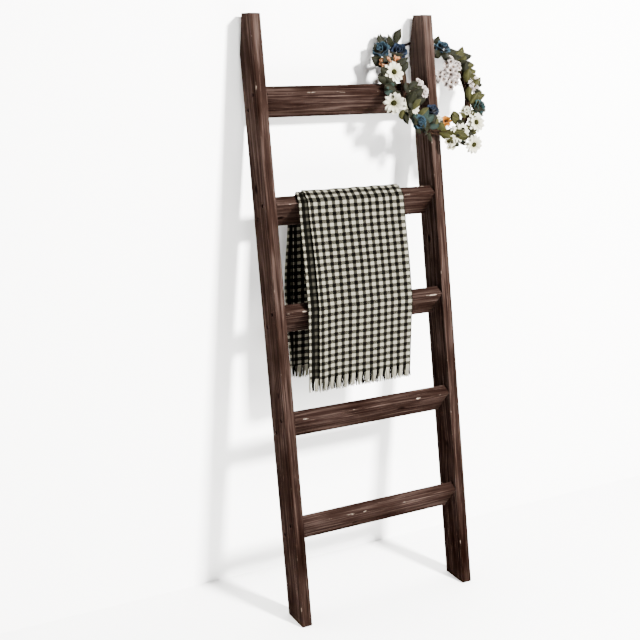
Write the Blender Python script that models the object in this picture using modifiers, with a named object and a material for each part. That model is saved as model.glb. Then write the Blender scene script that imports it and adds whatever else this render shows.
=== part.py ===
# Leaning blanket rack: two plank rails and five turned rungs held by screws, a folded throw over
# the second rung from the top, and a small flower wreath hooked over the right rail.
# Metres. +Z is up, +Y is towards the wall and +X is to the right as seen from the front.
from math import atan2, cos, degrees, radians, sin, tan

import bmesh
import bpy
from mathutils import Matrix, Vector, geometry

# Boards, the same stock for rails and rungs
BOARD_WIDTH = 0.072
BOARD_THICK = 0.026
EDGE_EASE = 0.0015             # sanded edge

# Rack
RACK_WIDTH = 0.476             # outside of one rail to outside of the other
RACK_HEIGHT = 1.372            # floor to the level cut on top of the rails
LEAN = radians(10)             # rails, back from plumb
WALL_CUT_HEIGHT = 0.088        # bevel on the back of each rail, down from the top
WALL_CUT_ANGLE = radians(18)   # bevel, off the rail's back edge
GAP = 0.0003                   # between pieces that touch

# Rungs, each turned about its length so that its wide faces slope
RUNG_COUNT = 5
RUNG_TOP_DROP = 0.174965       # front top corner of the highest rung, down the rail's front edge
RUNG_SPACING = 0.2448
RUNG_TURN = radians(48)        # wide face, off the rail's length

# Screws, two in each end of each rung
SCREW_SPACING = 0.044
SCREW_LENGTH = 0.050           # under the head
SCREW_RADIUS = 0.0022
SCREW_TIP = 0.006
HEAD_RADIUS = 0.0040
HEAD_HEIGHT = 0.0024
POCKET_DEPTH = 0.008           # head sits this deep in the rail's outer face
POCKET_CLEARANCE = 0.0006
PILOT_END_CLEARANCE = 0.001
ROUND_STEPS = 12

# Throw, folded lengthwise and hung over one rung
THROW_RUNG = 3                 # counted from the lowest, which is 0
THROW_LEFT = -0.155
THROW_WIDTH = 0.272
THROW_THICK = 0.009            # four layers of cloth
THROW_FRONT_FALL = 0.4326      # front top corner of the rung down to the fringe's tips
THROW_BACK_FALL = 0.4346
THROW_HANG_OUT = 0.002         # the back fall hangs this far behind the rung's back corner

# Wreath
WREATH_CENTRE_X = RACK_WIDTH / 2 - 0.002
WREATH_RADIUS_X = 0.098
WREATH_TOP_ABOVE_KNEE = 0.020
WREATH_DROP = 0.205            # top of the ring's path to its bottom
WREATH_RING_RADIUS = 0.010
WREATH_TOP_SQUEEZE = 0.2       # ring's radius behind the rail, as a share
WREATH_OVER_RUNG = radians(58) # where the ring lies on the rung's corner, forward of straight up
RING_RESOLUTION = 6
RING_SIDES = 12

ROSE = {"radius": 0.018, "depth": 0.024, "colour": (0.030, 0.060, 0.130, 1)}
DAISY = {"radius": 0.023, "depth": 0.009, "colour": (0.80, 0.77, 0.68, 1)}
BLOSSOM = {"radius": 0.014, "depth": 0.010, "colour": (0.62, 0.22, 0.07, 1)}
CLUSTER = {"radius": 0.016, "depth": 0.014, "colour": (0.72, 0.66, 0.58, 1)}

# Name, kind, degrees clockwise from the top of the ring, degrees that it faces outwards
FLOWERS = [
    ("rose_1", ROSE, -53, 62),
    ("rose_2", ROSE, -26, 20),
    ("rose_3", ROSE, 30, 42),
    ("rose_4", ROSE, -144, 14),
    ("rose_5", ROSE, 102, 62),
    ("rose_6", ROSE, -172, -38),
    ("daisy_1", DAISY, -82, -32),
    ("daisy_2", DAISY, -102, 50),
    ("daisy_3", DAISY, -126, -22),
    ("daisy_4", DAISY, 154, 34),
    ("daisy_5", DAISY, 126, 34),
    ("orange_blossom_1", BLOSSOM, -68, 38),
    ("orange_blossom_2", BLOSSOM, -46, -45),
    ("orange_blossom_3", BLOSSOM, 157, -66),
    ("white_blossom_1", CLUSTER, 55, -5),
    ("white_blossom_2", CLUSTER, 74, -42),
    ("white_blossom_3", CLUSTER, 84, 42),
    ("white_blossom_4", CLUSTER, 180, 48),
]

WOOD = (0.085, 0.045, 0.033, 1)
STEEL = (0.10, 0.095, 0.09, 1)
CLOTH = (0.28, 0.27, 0.22, 1)
TWIG = (0.045, 0.022, 0.015, 1)

RAIL_UP = Vector((0, sin(LEAN), cos(LEAN)))
RAIL_BACK = Vector((0, cos(LEAN), -sin(LEAN)))
RUNG_DOWN = RAIL_BACK * sin(RUNG_TURN) - RAIL_UP * cos(RUNG_TURN)
RUNG_THROUGH = RAIL_BACK * cos(RUNG_TURN) + RAIL_UP * sin(RUNG_TURN)
RAIL_INNER = RACK_WIDTH / 2 - BOARD_THICK
FLOWERS_FACE = Vector((0, -0.85, 0.53))


def start_scene():
    for old in list(bpy.data.objects):
        bpy.data.objects.remove(old, do_unlink=True)
    collections = []
    for name in ("leaning_blanket_rack", "cutters"):
        collection = bpy.data.collections.new(name)
        bpy.context.scene.collection.children.link(collection)
        collections.append(collection)
    return collections


def make_material(name, colour, roughness, metallic=0.0):
    material = bpy.data.materials.new(name)
    material.use_nodes = True
    shader = material.node_tree.nodes["Principled BSDF"]
    shader.inputs["Base Color"].default_value = colour
    shader.inputs["Roughness"].default_value = roughness
    shader.inputs["Metallic"].default_value = metallic
    return material


def add_object(name, data, material=None, collection=None, location=(0, 0, 0), parent=None):
    piece = bpy.data.objects.new(name, data)
    (collection or parts).objects.link(piece)
    if material:
        data.materials.append(material)
    piece.location = location
    piece.parent = parent
    return piece


def mesh_from(bm, name):
    bmesh.ops.recalc_face_normals(bm, faces=bm.faces)
    mesh = bpy.data.meshes.new(name)
    bm.to_mesh(mesh)
    bm.free()
    return mesh


def add_empty(name, location=(0, 0, 0), parent=None):
    return add_object(name, None, location=location, parent=parent)


def rung_corner(number):
    # Front top corner of a rung's section, flush with the rails' front edges
    rungs_above = RUNG_COUNT - 1 - number
    return RAIL_UP * (RACK_HEIGHT / cos(LEAN) - RUNG_TOP_DROP - rungs_above * RUNG_SPACING)


def rung_centre(number):
    return rung_corner(number) + RUNG_DOWN * BOARD_WIDTH / 2 + RUNG_THROUGH * BOARD_THICK / 2


def wall_knee():
    # Where the bevel starts on the rail's back edge
    height = RACK_HEIGHT - WALL_CUT_HEIGHT
    up = (height + BOARD_WIDTH * sin(LEAN)) / cos(LEAN)
    return RAIL_UP * up + RAIL_BACK * BOARD_WIDTH


def cut_flat(bm, point, normal):
    everything = bm.verts[:] + bm.edges[:] + bm.faces[:]
    cut = bmesh.ops.bisect_plane(bm, geom=everything, plane_co=point, plane_no=normal, clear_outer=True)
    rim = [edge for edge in cut["geom_cut"] if isinstance(edge, bmesh.types.BMEdge)]
    bmesh.ops.edgeloop_fill(bm, edges=rim)


def ease_edges(piece):
    bevel = piece.modifiers.new("eased_edges", "BEVEL")
    bevel.width = EDGE_EASE
    bevel.segments = 1
    bevel.limit_method = "ANGLE"


def subtract(piece, cutter):
    boolean = piece.modifiers.new("cut_" + cutter.name, "BOOLEAN")
    boolean.operation = "DIFFERENCE"
    boolean.object = cutter


def make_rail(name, side):
    bm = bmesh.new()
    bmesh.ops.create_cube(bm, size=1)
    length = RACK_HEIGHT / cos(LEAN) + 2 * BOARD_WIDTH
    bmesh.ops.scale(bm, vec=(BOARD_THICK, BOARD_WIDTH, length), verts=bm.verts)
    bmesh.ops.translate(bm, vec=(0, BOARD_WIDTH / 2, length / 2 - BOARD_WIDTH), verts=bm.verts)
    bmesh.ops.rotate(bm, matrix=Matrix.Rotation(-LEAN, 3, "X"), verts=bm.verts)
    cut_flat(bm, (0, 0, 0), (0, 0, -1))
    cut_flat(bm, (0, 0, RACK_HEIGHT), (0, 0, 1))
    wall_side = RAIL_BACK * cos(WALL_CUT_ANGLE) + RAIL_UP * sin(WALL_CUT_ANGLE)
    cut_flat(bm, wall_knee(), wall_side)
    place = (side * (RACK_WIDTH - BOARD_THICK) / 2, 0, 0)
    rail = add_object(name, mesh_from(bm, name), wood, location=place, parent=rack)
    ease_edges(rail)
    subtract(rail, cutters_by_side[side]["pockets"])
    subtract(rail, cutters_by_side[side]["shank_holes"])
    return rail


def make_rung(number):
    bm = bmesh.new()
    bmesh.ops.create_cube(bm, size=1)
    length = 2 * (RAIL_INNER - GAP)
    bmesh.ops.scale(bm, vec=(length, BOARD_THICK, BOARD_WIDTH), verts=bm.verts)
    name = "rung_%d" % (number + 1)
    rung = add_object(name, mesh_from(bm, name), wood, location=rung_centre(number), parent=rack)
    rung.rotation_euler.x = RUNG_TURN - LEAN
    ease_edges(rung)
    for side in (-1, 1):
        subtract(rung, cutters_by_side[side]["shank_holes"])
    return rung


def screw_places():
    # Rung number, name of the place and its point on the rung's section
    for number in range(RUNG_COUNT):
        for place, step in (("upper", -1), ("lower", 1)):
            yield number, place, rung_centre(number) + RUNG_DOWN * step * SCREW_SPACING / 2


def make_cylinder_cutter(name, side, radius, outer, inner):
    # One cutter with a cylinder at each screw, from outer to inner measured along X
    bm = bmesh.new()
    depth = outer - inner
    for _number, _place, point in screw_places():
        centre = Matrix.Translation((side * (outer + inner) / 2, point.y, point.z))
        turn = Matrix.Rotation(radians(90), 4, "Y")
        bmesh.ops.create_cone(bm, cap_ends=True, segments=ROUND_STEPS, radius1=radius, radius2=radius,
                              depth=depth, matrix=centre @ turn)
    cutter = add_object(name, mesh_from(bm, name), collection=cutters, parent=rack)
    cutter.hide_render = True
    cutter.display_type = "WIRE"
    return cutter


def make_side_cutters(side):
    word = "left" if side < 0 else "right"
    outside = RACK_WIDTH / 2 + BOARD_THICK
    pocket_floor = RACK_WIDTH / 2 - POCKET_DEPTH
    screw_end = pocket_floor + GAP - SCREW_LENGTH - PILOT_END_CLEARANCE
    pockets = make_cylinder_cutter(word + "_pockets", side, HEAD_RADIUS + POCKET_CLEARANCE, outside, pocket_floor)
    shank_holes = make_cylinder_cutter(word + "_shank_holes", side, SCREW_RADIUS + GAP, outside, screw_end)
    return {"pockets": pockets, "shank_holes": shank_holes}


def make_screw_mesh():
    # Half profile from the top of the head down to the point, on +X
    profile = [(0, HEAD_HEIGHT), (HEAD_RADIUS * 0.6, HEAD_HEIGHT), (HEAD_RADIUS, HEAD_HEIGHT * 0.6),
               (HEAD_RADIUS, 0), (SCREW_RADIUS, 0), (SCREW_RADIUS, SCREW_TIP - SCREW_LENGTH), (0, -SCREW_LENGTH)]
    bm = bmesh.new()
    corners = [bm.verts.new((x, 0, z)) for x, z in profile]
    for upper, lower in zip(corners, corners[1:]):
        bm.edges.new((upper, lower))
    mesh = bpy.data.meshes.new("screw")
    bm.to_mesh(mesh)
    bm.free()
    mesh.materials.append(steel)
    return mesh


def make_screw(mesh, number, place, point, side):
    word = "left" if side < 0 else "right"
    name = "screw_%d_%s_%s" % (number + 1, word, place)
    under_head = RACK_WIDTH / 2 - POCKET_DEPTH + GAP
    screw = add_object(name, mesh, location=(side * under_head, point.y, point.z), parent=rack)
    screw.rotation_euler.y = side * radians(90)
    turn = screw.modifiers.new("turned", "SCREW")
    turn.steps = ROUND_STEPS
    turn.render_steps = ROUND_STEPS
    turn.use_merge_vertices = True
    turn.merge_threshold = 0.00001
    turn.use_smooth_shade = False
    return screw


def make_screws():
    mesh = make_screw_mesh()
    for side in (-1, 1):
        for number, place, point in screw_places():
            make_screw(mesh, number, place, point, side)


def throw_path():
    # Middle of the cloth from the front fringe, over the rung, to the back fringe, in the YZ plane
    off = THROW_THICK / 2 + GAP
    below = rung_corner(THROW_RUNG - 1)
    front = rung_corner(THROW_RUNG)
    top = front + RUNG_THROUGH * BOARD_THICK
    back = top + RUNG_DOWN * BOARD_WIDTH
    touch_below = below - RAIL_BACK * off
    path = [Vector((0, touch_below.y, rung_corner(THROW_RUNG).z - THROW_FRONT_FALL)), touch_below]
    path.append(front - RAIL_BACK * off)
    path.append(front - RUNG_DOWN * off)
    path.append(top - RUNG_DOWN * off)
    path.append(top + (RUNG_THROUGH - RUNG_DOWN).normalized() * off)
    path.append(top + RUNG_THROUGH * off)
    path.append(back + RUNG_THROUGH * off)
    hang = back + Vector((0, off + THROW_HANG_OUT, -off))
    path.append(hang)
    path.append(Vector((0, hang.y, rung_corner(THROW_RUNG).z - THROW_BACK_FALL)))
    return path


def make_throw():
    centre = rung_centre(THROW_RUNG)
    bm = bmesh.new()
    line = [bm.verts.new(point - centre) for point in throw_path()]
    edges = [bm.edges.new(pair) for pair in zip(line, line[1:])]
    side = bmesh.ops.extrude_edge_only(bm, edges=edges)
    moved = [part for part in side["geom"] if isinstance(part, bmesh.types.BMVert)]
    bmesh.ops.translate(bm, vec=(THROW_WIDTH, 0, 0), verts=moved)
    place = centre + Vector((THROW_LEFT, 0, 0))
    throw = add_object("throw", mesh_from(bm, "throw"), cloth, location=place, parent=rack)
    solid = throw.modifiers.new("thickness", "SOLIDIFY")
    solid.thickness = THROW_THICK
    solid.offset = 0
    solid.use_even_offset = True
    return throw


def rail_front(height):
    return height * tan(LEAN)


def wreath_route():
    # Points that the ring passes through, clockwise from behind the rail, each with its radius's share
    knee = wall_knee()
    squeezed = WREATH_RING_RADIUS * WREATH_TOP_SQUEEZE
    top_z = knee.z + WREATH_TOP_ABOVE_KNEE
    bevel_y = knee.y - WREATH_TOP_ABOVE_KNEE * tan(WALL_CUT_ANGLE - LEAN)
    top_y = bevel_y + squeezed + GAP
    bottom_z = top_z - WREATH_DROP
    bottom_y = rail_front(bottom_z) - WREATH_RING_RADIUS - 3 * GAP
    rest = rung_corner(RUNG_COUNT - 1)
    rest_off = WREATH_RING_RADIUS + GAP - EDGE_EASE / 2
    rest_y = rest.y - sin(WREATH_OVER_RUNG) * rest_off
    rest_z = rest.z + cos(WREATH_OVER_RUNG) * rest_off
    inner = RACK_WIDTH / 2 - BOARD_THICK - squeezed * 3
    outer = RACK_WIDTH / 2 + squeezed * 3
    left = WREATH_CENTRE_X - WREATH_RADIUS_X
    right = WREATH_CENTRE_X + WREATH_RADIUS_X
    mid_y = (top_y + bottom_y) / 2
    return [
        ((inner, top_y, top_z), WREATH_TOP_SQUEEZE),
        ((outer, top_y, top_z), WREATH_TOP_SQUEEZE),
        ((right - 0.030, top_y - 0.022, top_z - 0.026), 0.9),
        ((right, mid_y - 0.006, top_z - 0.090), 1),
        ((right - 0.018, bottom_y + 0.014, bottom_z + 0.045), 1),
        ((right - 0.062, bottom_y, bottom_z + 0.006), 1),
        ((left + 0.076, bottom_y, bottom_z + 0.001), 1),
        ((left + 0.024, bottom_y + 0.002, bottom_z + 0.032), 1),
        ((left, rest_y - 0.014, rest_z - 0.038), 1),
        ((left + 0.002, rest_y, rest_z), 1),
        ((left + 0.014, rest_y + 0.034, rest_z + 0.044), 0.9),
        ((left + 0.042, top_y - 0.010, top_z - 0.016), 0.6),
    ]


def make_wreath_ring(centre):
    curve = bpy.data.curves.new("wreath_ring", "CURVE")
    curve.dimensions = "3D"
    curve.resolution_u = RING_RESOLUTION
    curve.bevel_depth = WREATH_RING_RADIUS
    curve.bevel_resolution = RING_SIDES // 4 - 1
    spline = curve.splines.new("BEZIER")
    route = wreath_route()
    spline.bezier_points.add(len(route) - 1)
    spline.use_cyclic_u = True
    for knot, (point, share) in zip(spline.bezier_points, route):
        knot.co = Vector(point) - centre
        knot.radius = share
        knot.handle_left_type = "AUTO"
        knot.handle_right_type = "AUTO"
    ring = add_object("wreath_ring", curve, twig, parent=wreath)
    bpy.context.view_layer.update()
    return ring


def ring_points(ring):
    # Points of the ring's middle line, each with the ring's flat-to-centre radius there
    flat = cos(radians(180) / RING_SIDES) * WREATH_RING_RADIUS
    knots = ring.data.splines[0].bezier_points
    points = []
    for knot, after in zip(knots, list(knots[1:]) + [knots[0]]):
        steps = geometry.interpolate_bezier(knot.co, knot.handle_right, after.handle_left, after.co,
                                            RING_RESOLUTION + 1)
        for number, step in enumerate(steps[:-1]):
            share = knot.radius + (after.radius - knot.radius) * number / RING_RESOLUTION
            points.append((step, share * flat))
    return points


def make_flower(name, kind, point, radius, facing):
    bm = bmesh.new()
    bmesh.ops.create_uvsphere(bm, u_segments=12, v_segments=8, radius=1)
    size = (kind["radius"], kind["radius"], kind["depth"] / 2)
    bmesh.ops.scale(bm, vec=size, verts=bm.verts)
    mesh = mesh_from(bm, name)
    mesh.shade_smooth()
    colour = make_material(name, kind["colour"], 0.8)
    place = point + facing * (radius + GAP + kind["depth"] / 2)
    flower = add_object(name, mesh, colour, location=place, parent=wreath)
    flower.rotation_mode = "QUATERNION"
    flower.rotation_quaternion = facing.to_track_quat("Z", "Y")
    return flower


def turn_apart(point, turn):
    # Degrees between a point's direction from the wreath's centre and a turn from the top
    return abs((degrees(atan2(point.x, point.z)) - turn + 180) % 360 - 180)


def make_flowers(ring):
    points = ring_points(ring)
    for name, kind, turn, outward in FLOWERS:
        number = min(range(len(points)), key=lambda entry: turn_apart(points[entry][0], turn))
        point, radius = points[number]
        along = (points[(number + 1) % len(points)][0] - points[number - 1][0]).normalized()
        front = (FLOWERS_FACE - along * FLOWERS_FACE.dot(along)).normalized()
        away = front.cross(along)
        tilt = radians(outward)
        make_flower(name, kind, point, radius, front * cos(tilt) + away * sin(tilt))


def centre_on_floor():
    # Move the rack so that the scene's origin is the middle of its box, on the floor
    bpy.context.view_layer.update()
    depsgraph = bpy.context.evaluated_depsgraph_get()
    corners = []
    for piece in parts.objects:
        if piece.type != "EMPTY":
            solid = piece.evaluated_get(depsgraph)
            corners += [solid.matrix_world @ vertex.co for vertex in solid.to_mesh().vertices]
            solid.to_mesh_clear()
    low_x, high_x = min(c.x for c in corners), max(c.x for c in corners)
    low_y, high_y = min(c.y for c in corners), max(c.y for c in corners)
    rack.location = (-(low_x + high_x) / 2, -(low_y + high_y) / 2, 0)
    bpy.context.view_layer.update()


parts, cutters = start_scene()
wood = make_material("wood", WOOD, 0.7)
steel = make_material("steel", STEEL, 0.4, 1.0)
cloth = make_material("cloth", CLOTH, 0.95)
twig = make_material("twig", TWIG, 0.85)

rack = add_empty("rack")
cutters_by_side = {side: make_side_cutters(side) for side in (-1, 1)}
make_rail("left_rail", -1)
make_rail("right_rail", 1)
for rung_number in range(RUNG_COUNT):
    make_rung(rung_number)
make_screws()
make_throw()

wreath_centre = Vector((WREATH_CENTRE_X, rung_corner(RUNG_COUNT - 1).y, rung_corner(RUNG_COUNT - 1).z))
wreath = add_empty("wreath", wreath_centre, rack)
make_flowers(make_wreath_ring(wreath_centre))
centre_on_floor()
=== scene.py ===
# Blanket rack leaning on a wall, with a folded gingham throw over one rung
# and a twig wreath with flowers hooked over the right rail
import math
import random

import bpy
from mathutils import Matrix, Vector
from mathutils.geometry import interpolate_bezier


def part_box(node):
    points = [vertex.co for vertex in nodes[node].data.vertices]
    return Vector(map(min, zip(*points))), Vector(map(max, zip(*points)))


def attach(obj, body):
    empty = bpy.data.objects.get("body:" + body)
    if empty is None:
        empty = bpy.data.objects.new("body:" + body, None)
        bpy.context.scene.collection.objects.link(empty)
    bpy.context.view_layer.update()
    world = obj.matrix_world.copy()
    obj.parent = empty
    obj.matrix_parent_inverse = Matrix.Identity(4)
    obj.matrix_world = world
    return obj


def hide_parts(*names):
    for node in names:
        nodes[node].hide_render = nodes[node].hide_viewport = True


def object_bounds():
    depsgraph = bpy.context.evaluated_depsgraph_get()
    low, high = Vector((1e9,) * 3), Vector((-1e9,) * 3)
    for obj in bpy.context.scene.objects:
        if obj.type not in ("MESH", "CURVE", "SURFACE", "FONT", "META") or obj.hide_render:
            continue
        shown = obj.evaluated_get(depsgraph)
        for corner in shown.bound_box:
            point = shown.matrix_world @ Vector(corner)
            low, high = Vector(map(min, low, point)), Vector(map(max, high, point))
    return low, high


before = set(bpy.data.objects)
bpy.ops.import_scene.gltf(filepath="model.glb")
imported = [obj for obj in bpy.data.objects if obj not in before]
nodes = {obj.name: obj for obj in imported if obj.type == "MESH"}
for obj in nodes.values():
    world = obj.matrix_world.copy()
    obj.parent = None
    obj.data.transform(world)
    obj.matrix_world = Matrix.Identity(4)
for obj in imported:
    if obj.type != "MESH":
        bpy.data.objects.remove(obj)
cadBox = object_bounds()
tau = math.tau

cameraSetup = {
    "place": (-1.3036, -2.1193, 1.3164),
    "tilt": 75.28,   # degrees up from straight down
    "turn": -28.03,
    "lens": 60.17,
}
bpy.ops.object.camera_add(
    location=cameraSetup["place"],
    rotation=(math.radians(cameraSetup["tilt"]), 0, math.radians(cameraSetup["turn"])),
)
camera = bpy.context.object
camera.name = "camera"
camera.data.lens = cameraSetup["lens"]
camera.data.sensor_width = 36
bpy.context.scene.camera = camera
print("camera set")


def deselectAll():
    bpy.ops.object.select_all(action="DESELECT")


def pickOnly(piece):
    deselectAll()
    piece.select_set(True)
    bpy.context.view_layer.objects.active = piece


def applyModifiers(piece):
    pickOnly(piece)
    for modifier in list(piece.modifiers):
        bpy.ops.object.modifier_apply(modifier=modifier.name)


def applyPlace(piece):
    pickOnly(piece)
    bpy.ops.object.transform_apply(location=True, rotation=True, scale=True)


def joinPieces(pieces, name):
    deselectAll()
    for piece in pieces:
        piece.select_set(True)
    bpy.context.view_layer.objects.active = pieces[0]
    bpy.ops.object.join()
    joined = bpy.context.object
    joined.name = name
    joined.data.name = name
    return joined


def copyOf(pattern, place):
    copied = pattern.copy()
    copied.data = pattern.data.copy()
    bpy.context.collection.objects.link(copied)
    copied.matrix_world = place
    applyPlace(copied)
    return copied


def facingMatrix(place, front, spin=0.0, size=1.0):
    turn = front.to_track_quat("Z", "Y").to_matrix().to_4x4()
    return Matrix.Translation(place) @ turn @ Matrix.Rotation(spin, 4, "Z") @ Matrix.Scale(size, 4)


def smoothed(piece, angle=50):
    pickOnly(piece)
    bpy.ops.object.shade_smooth_by_angle(angle=math.radians(angle))


def ease(low, high, value):
    share = min(1.0, max(0.0, (value - low) / (high - low)))
    return share * share * (3 - 2 * share)


def plug(slot, value):   # a number, a colour, a direction or another node's output
    if isinstance(value, bpy.types.NodeSocket):
        slot.id_data.links.new(value, slot)
    elif value is not None:
        slot.default_value = (*value, 1) if isinstance(value, tuple) else value


def newMaterial(name, roughness, specular, bumpStrength=0.0, bumpDepth=0.001):
    material = bpy.data.materials.new(name)
    material.use_nodes = True
    tree = material.node_tree
    shader = tree.nodes["Principled BSDF"]
    shader.inputs["Roughness"].default_value = roughness
    shader.inputs["Specular IOR Level"].default_value = specular
    if bumpStrength:
        bump = tree.nodes.new("ShaderNodeBump")
        bump.name = "bump"
        bump.inputs["Strength"].default_value = bumpStrength
        bump.inputs["Distance"].default_value = bumpDepth
        plug(shader.inputs["Normal"], bump.outputs["Normal"])
    return material, tree, shader


def newNode(kind, *values):   # in the tree that its inputs come from
    tree = next(value.id_data for value in values if isinstance(value, bpy.types.NodeSocket))
    return tree.nodes.new(kind)


def mathNode(kind, *values, clamp=False):
    node = newNode("ShaderNodeMath", *values)
    node.operation = kind
    node.use_clamp = clamp
    for slot, value in zip(node.inputs, values):
        plug(slot, value)
    return node.outputs[0]


def times(first, second, clamp=False):
    return mathNode("MULTIPLY", first, second, clamp=clamp)


def plus(first, second, clamp=False):
    return mathNode("ADD", first, second, clamp=clamp)


def minus(first, second, clamp=False):
    return mathNode("SUBTRACT", first, second, clamp=clamp)


def over(first, second):
    return mathNode("DIVIDE", first, second)


def noiseNode(vector, scale, detail=3.0, roughness=0.5):
    node = newNode("ShaderNodeTexNoise", vector)
    for slot, value in (("Vector", vector), ("Scale", scale), ("Detail", detail), ("Roughness", roughness)):
        plug(node.inputs[slot], value)
    return node.outputs["Fac"]


def rampNode(value, stops):
    node = newNode("ShaderNodeValToRGB", value)
    ramp = node.color_ramp
    while len(ramp.elements) < len(stops):
        ramp.elements.new(0.5)
    for element, (place, colour) in zip(ramp.elements, stops):
        element.position = place
        element.color = (*colour, 1)
    plug(node.inputs["Fac"], value)
    return node.outputs["Color"]


def mixColours(share, first, second, kind="MIX"):
    node = newNode("ShaderNodeMix", share, first, second)
    node.data_type = "RGBA"
    node.blend_type = kind
    for slot, value in ((0, share), (6, first), (7, second)):   # the slots of a colour mix
        plug(node.inputs[slot], value)
    return node.outputs[2]


def dimmed(colour, amount):
    return mixColours(1.0, colour, combine(amount, amount, amount), "MULTIPLY")


def scaled(colour, share):
    return tuple(part * share for part in colour)


def objectPlace(tree):
    return tree.nodes.new("ShaderNodeTexCoord").outputs["Object"]


def uvPlace(tree):
    uv = tree.nodes.new("ShaderNodeUVMap")
    uv.uv_map = "UVMap"
    split = newNode("ShaderNodeSeparateXYZ", uv.outputs["UV"])
    plug(split.inputs[0], uv.outputs["UV"])
    return uv.outputs["UV"], split.outputs["X"], split.outputs["Y"]


def vectorMath(kind, vector, other):
    node = newNode("ShaderNodeVectorMath", vector)
    node.operation = kind
    plug(node.inputs[0], vector)
    plug(node.inputs[1], other)
    return node


def dotWith(vector, direction):
    return vectorMath("DOT_PRODUCT", vector, direction).outputs["Value"]


def fromCentre(vector, centre):
    return vectorMath("SUBTRACT", vector, centre).outputs["Vector"]


def combine(*values):
    node = newNode("ShaderNodeCombineXYZ", *values)
    for slot, value in zip(node.inputs, values):
        plug(slot, value)
    return node.outputs["Vector"]


def stretched(run, across, through, amounts):   # grain place, squeezed or drawn out each way
    return combine(*(times(value, amount) for value, amount in zip((run, across, through), amounts)))


rack = {
    "lean": math.radians(10),
    "rungTurn": math.radians(48),
    "boardWidth": 0.072,
    "boardThick": 0.026,
}
railUp = Vector((0, math.sin(rack["lean"]), math.cos(rack["lean"])))
railBack = Vector((0, math.cos(rack["lean"]), -math.sin(rack["lean"])))
rungDown = railBack * math.sin(rack["rungTurn"]) - railUp * math.cos(rack["rungTurn"])
rungThrough = railBack * math.cos(rack["rungTurn"]) + railUp * math.sin(rack["rungTurn"])
wholeWidthX = Vector((1, 0, 0))


def middleOf(name):
    low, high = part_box(name)
    return (low + high) / 2


def frontTop(number):   # the rung's edge nearest the front
    centre = middleOf(f"rung_{number}")
    corner = centre - rungDown * rack["boardWidth"] / 2 - rungThrough * rack["boardThick"] / 2
    return Vector((0, corner.y, corner.z))


woodLook = {
    "dark": (0.0022, 0.0008, 0.0005),
    "body": (0.0094, 0.0052, 0.0040),
    "light": (0.030, 0.0200, 0.0166),
    "dust": (0.080, 0.055, 0.046),
    "pale": (0.16, 0.13, 0.105),
    "knot": (0.0014, 0.0006, 0.0004),
    # how fine each pattern is along, across and through the board
    "streaks": (7, 420, 420),
    "figure": (2.2, 60, 60),
    "patches": (9, 18, 18),
    "chips": (26, 90, 90),
}


def makeWood(name, centre, grain, across, through, seed, knots, paleEdge, fade=0.0):
    material, tree, shader = newMaterial(name, 0.62, 0.0, 0.55, 0.0012)
    spot = fromCentre(objectPlace(tree), centre)
    run, straight, deep = (dotWith(spot, way) for way in (grain, across, through))
    side, knotMask = straight, None
    for along, sideways, size in knots:   # the grain swerves round each knot
        offRun = times(minus(run, along), 0.55)
        offSide = minus(straight, sideways)
        reach = mathNode("SQRT", plus(times(offRun, offRun), times(offSide, offSide)))
        near = minus(1, over(reach, size), clamp=True)
        knotMask = near if knotMask is None else mathNode("MAXIMUM", knotMask, near)
        side = plus(side, over(0.00006, plus(reach, 0.004)))
    shifted = plus(run, seed * 1.37)   # each board from another part of the tree

    def pattern(kind, detail, roughness):
        return noiseNode(stretched(shifted, side, deep, woodLook[kind]), 1, detail, roughness)

    streaks = pattern("streaks", 5, 0.62)
    rings = mathNode("SINE", plus(times(pattern("figure", 3, 0.5), 34), times(side, 160)))
    tone = plus(times(streaks, 0.62), times(rings, 0.075))
    tone = plus(tone, times(pattern("patches", 2, 0.5), 0.36))
    tone = plus(tone, times(run, fade))
    colour = rampNode(tone, [(0.30, woodLook["dark"]), (0.50, woodLook["body"]), (0.72, woodLook["light"])])
    dry = times(mathNode("GREATER_THAN", streaks, 0.63), 0.30)   # dry raised fibres catch dust
    colour = mixColours(dry, colour, woodLook["dust"])
    # bare chips along the long edges
    widthNear = times(mathNode("ABSOLUTE", straight), 2 / rack["boardWidth"])
    thickNear = times(mathNode("ABSOLUTE", deep), 2 / rack["boardThick"])
    edge = times(mathNode("SMOOTH_MAX", 0, minus(widthNear, 0.93), 0.01),
                 mathNode("SMOOTH_MAX", 0, minus(thickNear, 0.80), 0.02))
    chips = times(minus(pattern("chips", 4, 0.65), 0.66 - 0.12 * paleEdge), 14, clamp=True)
    worn = times(times(edge, 160, clamp=True), chips)
    colour = mixColours(worn, colour, woodLook["pale"])
    if knotMask is not None:
        colour = mixColours(times(minus(knotMask, 0.25), 2.2, clamp=True), colour, woodLook["knot"])
    plug(shader.inputs["Base Color"], colour)
    plug(shader.inputs["Roughness"], plus(times(streaks, 0.35), 0.42))
    height = minus(plus(streaks, times(rings, 0.12)), times(worn, 0.5))
    plug(tree.nodes["bump"].inputs["Height"], height)
    return material


def setMaterial(piece, *materials):
    piece.data.materials.clear()
    for material in materials:
        piece.data.materials.append(material)


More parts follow.
